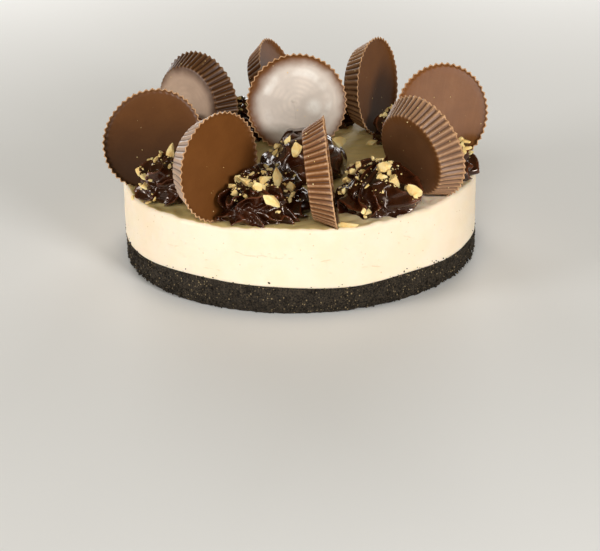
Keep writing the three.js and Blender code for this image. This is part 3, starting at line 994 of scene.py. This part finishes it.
# %% [markdown]
# ## Ganache rosettes: shape
#
# A rosette is one rope of ganache, squeezed through a star-shaped tip and laid in a coil that
# climbs to a peak. We could sweep a star section along a spiral, but its coils would cut
# through each other and leave a hole in the middle. Instead we wrap one sheet over a mound
# and push it out. Three things push: a round bulge for each turn of the rope, thin crests with
# wide hollows between them where the star tip and the buckling rope leave folds, and a swirl
# at the peak. The crests wander in S-curves and lean over, because soft ganache folds as it
# lands.

# %% Rosette places
# Where the foot stands, widest radius, height and lean of the peak, in mm, and then how it was
# piped: turns of the rope, folds in the lowest turn, how deep they are, how far they wander
# and how far they lean over. A low steep makes its sides upright, uneven is how much the folds
# differ, plump turns the thin crests into round lobes, and low_side is a compass angle where
# the rosette sags, and by what share.
ROSETTES = {
    "rosette_front_left": (
        (-18.2, -62.3), 23.4, 19.8, (1.2, 3.3),
        dict(turns=2.3, folds=14, depth=3.9, wander=2.6, tip=1.6, steep=0.55, uneven=0.5),
    ),
    "rosette_front_right": (
        (34.4, -59.2), 23.4, 21.9, (6.0, 9.4),
        dict(turns=1.2, folds=8, depth=5.4, wander=1.8, tip=1.9, steep=0.6, uneven=0.6),
    ),
    "rosette_centre": (
        (1.2, -5.6), 25.0, 21.0, (-4.2, 1.2),
        dict(turns=1.9, folds=6, depth=3.6, wander=0.7, tip=-0.8, steep=0.5, low_side=(180, 0.5), plump=0.4),
    ),
    "rosette_left": (
        (-58.3, -32.7), 21.2, 20.4, (-1.2, 1.2), dict(turns=2.1, folds=13, depth=3.5, wander=1.6, tip=-0.7)
    ),
    "rosette_right": (
        (65.2, -16.3), 22.4, 19.8, (3.5, 2.3),
        dict(turns=2.2, folds=11, depth=3.4, wander=1.3, tip=0.7, steep=0.4),
    ),
    "rosette_back_right": (
        (57.8, 39.7), 19.1, 19.3, (-1.2, 1.2), dict(turns=2.2, folds=12, depth=2.7, wander=1.2, tip=0.5)
    ),
    "rosette_back": (
        (15.2, 70.6), 16.3, 18.7, (1.2, 0), dict(turns=2.1, folds=10, depth=2.5, wander=1.0, tip=0.6)
    ),
    "rosette_back_left": (
        (-29.8, 58.9), 20.4, 18.7, (0, 0), dict(turns=2.3, folds=12, depth=2.9, wander=1.2, tip=-0.5)
    ),
    "rosette_far_left": (
        (-61.7, 21.2), 21.6, 19.8, (1.2, 1.2), dict(turns=2.2, folds=13, depth=3.0, wander=1.2, tip=0.6)
    ),
}
ROSETTE_COLUMNS, ROSETTE_ROWS = 420, 110
print("rosettes:", len(ROSETTES))

# %% [markdown]
# `rosette_skin` works on all points at once. It first asks where a point lies on the rope, then
# how far the crests, lobes and coils push it out from the mound, and last it sags and leans the
# whole rosette.

# %% Rosette shape
def rope_round_mound(turns, angle, climb):
    """Where each point lies on the rope: 0 to 1 across it, and how many turns along it."""
    rope = turns * climb**0.92 - angle / (2 * np.pi)
    turn_number = np.floor(rope)
    return rope - turn_number, turn_number + angle / (2 * np.pi)


def rosette_skin(
    radius, height, lean, seed, turns, folds, depth, wander, tip, steep=0.75, uneven=0.4, low_side=(0, 0),
    plump=0.0,
):
    """Points of one rosette about its foot, in mm, from the foot to the peak, and where its thin crests get
    a painted highlight.
    """
    angle = full_circle(ROSETTE_COLUMNS)[None]
    climb = np.linspace(0, 1, ROSETTE_ROWS)[:, None]
    across, along = rope_round_mound(turns, angle, climb)
    round_rope = np.sqrt(np.clip(np.sin(np.pi * across), 0, 1))

    # The mound that the sheet is wrapped over.
    arch = climb * np.pi / 2
    out = np.cos(arch) ** 0.5
    mound = (radius - 0.95 * depth) * np.cos(arch) ** steep
    level = (height - depth * 0.5) * np.sin(arch) ** 1.15 + 0 * angle
    outward = ring(angle, 1.0, 0 * level)
    place = outward * radius + np.stack([0 * level, 0 * level, 1.6 * level], -1)

    # Thin crests that wander in S-curves and differ in height.
    curve = wander * (lumps(place, 9, seed=seed) + 0.75 * np.sin(2 * np.pi * (across * 0.9 + 3.1 * along)))
    count = folds * (1 - 0.16 * along)
    crest = 1 - np.abs(np.sin(np.pi * (count * along + 0.32 * curve + 0.25 * seed)))
    lit_ridge = smooth_step(crest, 0.72, 1.0) * (1 - plump)
    crest = crest + plump * (np.sqrt(1 - crest**2) - crest)
    crest = crest * (0.75 + uneven * lumps(place, 14, seed=seed + 50, octaves=1))
    edge = np.clip(np.sin(np.pi * across), 0, 1) ** 0.6

    # The coil and the crests push the mound out, and the foot is drawn in.
    coil = 0.35 * turns - 0.15
    swell = depth * (1.15 - 0.55 * climb) * (coil * round_rope + 1.7 * (crest - 0.34) * edge - 0.15)
    swell = swell * smooth_step(climb, -0.05, 0.09) - 0.35 * depth * (1 - smooth_step(climb, 0, 0.06))
    points = outward * (mound + swell * out)[..., None]
    points[..., 2] = level + swell * (np.sin(arch) ** 1.2) * 0.75 - 0.9 * round_rope * out
    beside = ring(angle + np.pi / 2, 1.0, 0 * level)
    points += beside * (tip * 2.2 * crest * edge * out)[..., None]

    # The whole rosette sags to one side and leans.
    low_way, sag = math.radians(low_side[0]), low_side[1]
    towards = points[..., 0] * math.cos(low_way) + points[..., 1] * math.sin(low_way)
    points[..., 2] *= 1 - sag * smooth_step(towards / radius, 0.05, 0.6)
    points[..., :2] += np.clip(points[..., 2:] / height, 0, 1) ** 2 * np.array(lean)
    return points, lit_ridge * edge


print("points of one rosette:", ROSETTE_COLUMNS * ROSETTE_ROWS)

# %% [markdown]
# Two rosettes touch a cup. Soft ganache gives way to a hard face, so points that would pass
# through one are moved back in front of it. The exponential eases them in, and the ganache lies
# against the face without a crease.

# %% Press the ganache on the cups
PRESS_DEPTH = 2.4 * MM


def press_on_cups(points, foot):
    """Moves ganache that would run into a cup back in front of the face it is nearest to."""
    for name in CUPS:
        local = in_cup_frame(points, name)
        middle = in_cup_frame(np.array([foot]), name)[0]
        in_front = middle[2] > -CUP_HEIGHT / 2
        depth = local[..., 2] if in_front else -CUP_HEIGHT - local[..., 2]
        rim = CUP_RIM_RADIUS if in_front else CUP_FOOT_RADIUS + 2 * MM
        facing = 1 - smooth_step(np.linalg.norm(local[..., :2], axis=-1), rim - 1 * MM, rim + 2 * MM)
        eased = PRESS_DEPTH * np.exp(np.minimum(depth - PRESS_DEPTH, 0) / PRESS_DEPTH)
        pressed = np.where(depth < PRESS_DEPTH, eased, depth)
        move = (pressed - depth) * facing * (1 if in_front else -1)
        look = np.array(cup_place(name).to_3x3() @ Vector((0, 0, 1)))
        points = points + move[..., None] * look
    return points


print("ganache eases within, mm:", round(PRESS_DEPTH / MM, 1))

# %% [markdown]
# Now all nine are made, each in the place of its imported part. Their random bumps differ by the
# number in the row.

# %% Make the rosettes
rosettes = {}
for number, (name, (foot, radius, height, lean, piping)) in enumerate(ROSETTES.items()):
    points, lit_ridges = rosette_skin(radius, height, lean, number, **piping)
    points[..., 2] = np.clip(points[..., 2], -0.3, height)
    foot_at = np.array([foot[0] * MM, foot[1] * MM, CAKE_HEIGHT])
    points = press_on_cups(points * MM + foot_at, foot_at + (0, 0, 0.4 * height * MM))
    piece = make_mesh("piped_" + name, points, skin_faces(ROSETTE_ROWS, ROSETTE_COLUMNS), ganache)
    mark(piece, "lit_ridge", lit_ridges)
    stand_for(piece, name)
    rosettes[name] = piece
report(piece)

# %% [markdown]
# ## Chopped peanuts
#
# Chopped nuts are split halves and angular bits from nine millimetres down to dust. They are
# pale cream with a drier, browner tone at some edges. A chip starts as a ball that is
# stretched and then cut flat by a few random planes, which gives both the broken faces and
# the rounded back of the nut. All chips are joined in one mesh, since an instance would be
# lost in the export.

# %% Nut finish
NUT_LIGHT, NUT_DARK = (0.98, 0.77, 0.36), (0.9, 0.61, 0.22)
nut_finish, tree, shader = finish(
    "chopped_peanut",
    Roughness=0.5,
    Specular_IOR_Level=0.28,
    Subsurface_Weight=0.15,
    Subsurface_Radius=(1.0, 0.7, 0.35),
    Subsurface_Scale=1 * MM,
)
nut_share = ramp(tree, object_noise(tree, 3.2 * MM, detail=4), 0.38, 0.66)
tree.links.new(mixed(tree, nut_share, NUT_LIGHT, NUT_DARK), shader.inputs["Base Color"])
bumped(tree, shader, object_noise(tree, 0.6 * MM, detail=3), 0.12 * MM)
print("nut finish, nodes:", len(tree.nodes))

# %% [markdown]
# `Heap` collects chips and makes one mesh of them at the end. Its balls come in two
# finenesses: coarse for crumbs and fine for chips.

# %% Chip tools
def ball(divisions):
    """Points and triangles of a round ball of radius 1."""
    bpy.ops.mesh.primitive_ico_sphere_add(subdivisions=divisions, radius=1)
    made = bpy.context.object
    points = np.array([v.co for v in made.data.vertices])
    faces = np.array([list(p.vertices) for p in made.data.polygons])
    bpy.data.objects.remove(made)
    return points, faces


COARSE, FINE = 1, 3
BALLS = {divisions: ball(divisions) for divisions in (COARSE, FINE)}


class Heap:
    """Gathers many small chips into one mesh."""

    def __init__(self, seed):
        self.draw = np.random.default_rng(seed)
        self.points, self.faces, self.count = [], [], 0

    def add(self, at, length, width, depth, long_way, face_way, divisions=FINE, cuts=13):
        """A chip at a point, lying along long_way with its flat side towards face_way."""
        points, faces = BALLS[divisions]
        shape = points.copy()
        for _ in range(cuts):
            way = self.draw.normal(size=3)
            way /= np.linalg.norm(way)
            beyond = shape @ way - self.draw.uniform(0.35, 0.75)
            shape -= np.maximum(beyond, 0)[:, None] * way
        shape /= np.abs(shape).max(axis=0)
        long_way = Vector(long_way).normalized()
        across = Vector(face_way).cross(long_way).normalized()
        face_way = long_way.cross(across)
        axes = np.array([long_way * length / 2, across * width / 2, face_way * depth / 2])
        self.points.append(shape @ axes + np.array(at))
        self.faces.append(faces + self.count)
        self.count += len(shape)

    def grain(self, at, size):
        """A tiny crumb turned any way."""
        ways = self.draw.normal(size=(2, 3))
        sizes = size * self.draw.uniform(0.5, 1, 3)
        self.add(at, sizes[0], sizes[1], sizes[2], ways[0], ways[1], divisions=COARSE, cuts=2)

    def make(self, name, material, slot):
        """One flat-shaded mesh of all the chips, which rides on the cake."""
        faces = np.concatenate(self.faces).tolist()
        piece = make_mesh(name, np.concatenate(self.points), faces, material, smooth=False)
        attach(piece, "root")
        report(piece)


print("balls, triangles:", [len(faces) for _, faces in BALLS.values()])

# %% [markdown]
# Chips have to land on the ganache, and never inside a cup. Blender can cast rays against a
# search tree of triangles, which is much faster than testing each face. `seen_on` aims a ray
# through a pixel of the picture.

# %% Search trees
def tree_of(*pieces):
    """A search tree over the triangles of pieces, to drop or aim chips onto them."""
    points, faces, first = [], [], 0
    for piece in pieces:
        place = piece.matrix_world
        points += [place @ v.co for v in piece.data.vertices]
        faces += [[i + first for i in p.vertices] for p in piece.data.polygons if len(p.vertices) < 5]
        first += len(piece.data.vertices)
    return BVHTree.FromPolygons(points, faces)


ganache_tree = tree_of(*rosettes.values())
cup_tree = tree_of(*cups.values())
CUP_IN_FRONT = 3 * MM


def seen_on(surface, across, down):
    """The point and normal of a surface that show at a pixel, or None if it misses or a cup hides it."""
    way = towards_pixel(across, down)
    hit, normal, _, far = surface.ray_cast(CAMERA_AT, way)
    cup_hit, _, _, cup_far = cup_tree.ray_cast(CAMERA_AT, way)
    if hit is None or (cup_hit is not None and cup_far < far - CUP_IN_FRONT):
        return None
    return hit, normal


print("the picture's middle shows ganache:", seen_on(ganache_tree, 300, 160) is not None)

# %% [markdown]
# The largest chips are placed where the picture shows them. A ray goes from the camera
# through the chip's pixel and stops at the ganache, so the chip lies on the surface seen from
# any side. Nuts land in heaps, so each of these chips gets smaller bits and dust close by. The
# middle rosette has hardly any.

# %% Chips of the picture
RIGHT, UP = camera_turn @ Vector((1, 0, 0)), camera_turn @ Vector((0, 1, 0))
# Pixel across and down, then length and width in mm, and the slope of its long side in degrees.
SHOWN_CHIPS = (
    (217, 192, 7.4, 3.6, 55), (245, 182, 8.0, 4.4, -40), (238, 179, 5.0, 3.2, -70),
    (259, 188, 5.4, 4.8, 10), (263, 179, 5.6, 3.2, 35), (278, 180, 9.4, 5.6, -65),
    (290, 188, 4.8, 3.8, -80), (273, 201, 8.2, 4.2, -15), (290, 199, 4.4, 2.0, 75),
    (233, 186, 3.4, 2.6, 0), (235, 193, 3.8, 2.8, 60), (268, 170, 4.2, 2.4, 20),
    (380, 156, 3.8, 3.2, 0), (384, 167, 6.2, 4.6, 10), (359, 166, 5.4, 3.4, 70),
    (353, 172, 4.0, 3.2, 20), (363, 172, 4.2, 2.6, -50), (382, 177, 4.6, 2.8, 10),
    (395, 182, 6.0, 4.2, -55), (413, 191, 7.6, 4.4, -30), (368, 212, 3.8, 2.6, 20),
    (343, 191, 3.2, 2.4, 40), (347, 177, 3.8, 2.6, 20), (389, 174, 3.4, 2.4, 70),
    (295, 149, 6.4, 5.0, 70), (288, 140, 4.6, 2.8, 60), (279, 146, 4.6, 3.4, 30),
    (276, 152, 3.6, 2.6, 30), (271, 151, 2.4, 2.0, 0), (336, 140, 8.0, 4.6, -15),
    (171, 147, 9.8, 3.6, 80), (161, 151, 3.0, 1.8, -40), (139, 171, 4.0, 2.8, -60),
    (144, 177, 3.2, 2.8, 20), (145, 186, 5.2, 4.0, -10), (156, 159, 3.6, 1.8, 50),
    (133, 197, 4.6, 1.8, 80), (149, 202, 3.0, 2.0, 40), (461, 139, 3.0, 2.2, 60),
    (464, 150, 4.0, 2.4, 80), (470, 148, 3.4, 2.2, 10), (385, 114, 3.0, 2.4, 0),
    (388, 107, 3.6, 3.0, 30),
)
# The ganache swallows a part of each chip, so a chip is larger than it shows.
SUNK = 1.22
chips, crumbs = Heap(seed=7), Heap(seed=8)


def lay_chip(at, normal, length, width, slope):
    """A chip that lies on a surface with its flat side partly turned to the camera."""
    tilt = math.radians(slope)
    long_way = RIGHT * math.cos(tilt) + UP * math.sin(tilt)
    to_camera = (CAMERA_AT - at).normalized()
    depth = width * chips.draw.uniform(0.6, 0.85)
    chips.add(at + to_camera * depth * 0.36, length, width, depth, long_way, to_camera + 0.6 * normal)


def in_middle_rosette(at):
    """Whether a point is on the rosette in the middle, which has large chips and little dust."""
    foot, radius = ROSETTES["rosette_centre"][:2]
    return math.hypot(at.x / MM - foot[0], at.y / MM - foot[1]) < radius


def spot_near(across, down, spread):
    """A spot of the ganache that shows near a pixel, or None."""
    return seen_on(ganache_tree, *chips.draw.normal((across, down), spread))


print("chips to place:", len(SHOWN_CHIPS))

# %% [markdown]
# The places are read from the picture, so a few pixels just miss the ganache. Such a chip
# lies where the ganache shows a little below its pixel.

# %% Place the chips
PIXELS_LOWER = 9
placed = 0
for across, down, length, width, slope in SHOWN_CHIPS:
    tries = (seen_on(ganache_tree, across, down + lower) for lower in range(PIXELS_LOWER))
    found = next((spot for spot in tries if spot), None)
    if found is None:
        continue
    placed += 1
    lay_chip(*found, length * SUNK * MM, width * SUNK * MM, slope)
    bits, grains_round = (0, 2) if in_middle_rosette(found[0]) else (2, 5)
    for _ in range(bits):
        spot = spot_near(across, down, 4.5)
        if spot is not None:
            size = chips.draw.uniform(1.4, 3.4) * MM
            lay_chip(*spot, size, size * chips.draw.uniform(0.55, 0.85), chips.draw.uniform(-90, 90))
    for _ in range(grains_round):
        spot = spot_near(across, down, 5)
        if spot is not None:
            crumbs.grain(spot[0], chips.draw.uniform(0.5, 1.4) * MM)
print("shown chips placed:", placed, "of", len(SHOWN_CHIPS))

# %% [markdown]
# The rest are dropped from above onto each rosette: chips of all sizes and then crumbs. They
# keep to its upper part, as the slopes are bare in the picture, and off the cups. Small ones
# are much more common than large ones, as they are when nuts are chopped.

# %% Drop chips and crumbs
# On these rosettes most chips are already placed, and only a few small ones are dropped.
PLACED_BY_HAND = ("rosette_front_left", "rosette_front_right", "rosette_left", "rosette_centre")
DROP_FROM, DOWN = 75, Vector((0, 0, -1))
CUP_CLEARANCE = 1.5 * MM


def spot_under(surface, above):
    """The point and normal of a surface straight below a point, or None twice."""
    return surface.ray_cast(above, DOWN)[:2]


def over_rosette(draw, foot, radius, share):
    """A random point high above a rosette, out to a share of its radius."""
    spread, turn = radius * math.sqrt(draw.uniform(0, 1)) * share, draw.uniform(0, 2 * math.pi)
    return Vector((foot[0] + spread * math.cos(turn), foot[1] + spread * math.sin(turn), DROP_FROM)) * MM


def room_to_cups(spot):
    """How far a spot is from the skin of the nearest cup."""
    return min((beyond_cup(np.array([spot]), cup)[0] for cup in CUPS), key=abs)


for name, (foot, radius, *_) in ROSETTES.items():
    shown = name in PLACED_BY_HAND
    chip_count, crumb_count = (7, 60) if shown else (34, 130)
    if name == "rosette_centre":
        chip_count, crumb_count = 0, 12
    for _ in range(chip_count):
        hit, normal = spot_under(ganache_tree, over_rosette(chips.draw, foot, radius, 0.8))
        if hit is None or room_to_cups(hit) < CUP_CLEARANCE:
            continue
        chance = chips.draw.uniform()
        length = (1.8 + 1.6 * chance if shown else 2.2 + 5.5 * chance**2.4) * MM
        long_way = normal.cross(Vector(chips.draw.normal(size=3))).normalized()
        width = length * chips.draw.uniform(0.5, 0.85)
        chips.add(hit + normal * width * 0.15, length, width, width * 0.7, long_way, normal)
    for _ in range(crumb_count):
        above = over_rosette(crumbs.draw, foot, radius, 0.6 if shown else 0.86)
        hit, normal = spot_under(ganache_tree, above)
        if hit is not None:
            crumbs.grain(hit, (0.4 + 1.1 * crumbs.draw.uniform() ** 2) * MM)
print("chips so far:", len(chips.faces), "and crumbs:", len(crumbs.faces))

# %% [markdown]
# Three chips missed the ganache and lie on the mousse: a large one pressed into the front rim,
# one behind and a small one on the left. Dust also sticks to the cups and the mousse. On a cup
# we scatter it about the cup's own axis, which puts it on both faces and in the flutes.

# %% Chips and dust beside the ganache
LOOSE_CHIPS = ((348, 225, 10.4, 5.0, 3), (371, 143, 7.6, 6.4, 12), (133, 197, 3.2, 2.4, 60))
CUP_DUST = (("wide", 12), ("narrow", 7), ("side", 16))
MOUSSE_DUST = 130
mousse_tree = tree_of(mousse)
for across, down, length, width, slope in LOOSE_CHIPS:
    at, normal = seen_on(mousse_tree, across, down)
    # The normal counts three times, so that the chip lies flatter than on a rosette.
    lay_chip(at - normal * 0.2 * MM, normal * 3, length * MM, width * MM, slope)


def round_axis(reach, turn, height):
    """The point at a distance from the cake's axis, or a cup's, at an angle and a height."""
    return Vector((reach * math.cos(turn), reach * math.sin(turn), height))


def dust_spot(where):
    """A random spot on a cup about its own axis."""
    turn = crumbs.draw.uniform(0, 2 * math.pi)
    if where == "side":
        height = -crumbs.draw.uniform(1, 10) * MM
        reach = CUP_RIM_RADIUS + (CUP_RIM_RADIUS - CUP_FOOT_RADIUS) * height / CUP_HEIGHT - 0.4 * MM
    else:
        narrow = where == "narrow"
        reach = math.sqrt(crumbs.draw.uniform()) * 0.9 * (CUP_FOOT_RADIUS if narrow else CUP_RIM_RADIUS)
        height = -CUP_HEIGHT if narrow else -FACE_DEPTH
    return round_axis(reach, turn, height)


for name in CUPS:
    for where, count in CUP_DUST:
        for _ in range(count):
            spot = cup_place(name) @ dust_spot(where)
            if spot.z > CAKE_HEIGHT + 1 * MM:
                crumbs.grain(spot, (0.3 + 0.6 * crumbs.draw.uniform() ** 2) * MM)
for _ in range(MOUSSE_DUST):
    reach = CAKE_RADIUS * 0.97 * math.sqrt(crumbs.draw.uniform())
    turn = crumbs.draw.uniform(0, 2 * math.pi)
    above = round_axis(reach, turn, 0.1)
    covered = any(spot_under(surface, above)[0] for surface in (ganache_tree, cup_tree))
    if not covered:
        hit = spot_under(mousse_tree, above)[0]
        crumbs.grain(hit, (0.4 + 0.9 * crumbs.draw.uniform() ** 2) * MM)
chips.make("nut_chips", nut_finish, "nuts")
crumbs.make("nut_crumbs", nut_finish, "nuts")

# %% [markdown]
# The crust gets loose grains of its own finish all over its side, so that its outline is
# rough, and a few that were dragged up onto the foot of the mousse when the cake was unmoulded.

# %% Crust grains
CRUST_GRAINS, DRAGGED_GRAINS = 5600, 90
SHOWN_CRUMB_PIXEL = (269, 283)
grains = Heap(seed=12)


def on_crust_side(turn, height, sunk):
    """A point of the crust's side, sunk a little below its widest."""
    return round_axis(CAKE_RADIUS - sunk, turn, height)


for _ in range(CRUST_GRAINS):
    turn = grains.draw.uniform(0, 2 * math.pi)
    height = grains.draw.uniform(0.8 * MM, crust_top(turn) - 0.3 * MM)
    grains.grain(on_crust_side(turn, height, 0.8 * MM), (0.7 + 1.3 * grains.draw.uniform() ** 2) * MM)
for _ in range(DRAGGED_GRAINS):
    turn = grains.draw.uniform(0, 2 * math.pi)
    height = crust_top(turn) + 2.4 * MM * grains.draw.uniform() ** 2
    grains.grain(on_crust_side(turn, height, 0.2 * MM), grains.draw.uniform(0.4, 1.0) * MM)
grains.grain(side_point(*SHOWN_CRUMB_PIXEL), 1.4 * MM)
grains.make("crust_grains", crust_finish, "crust")
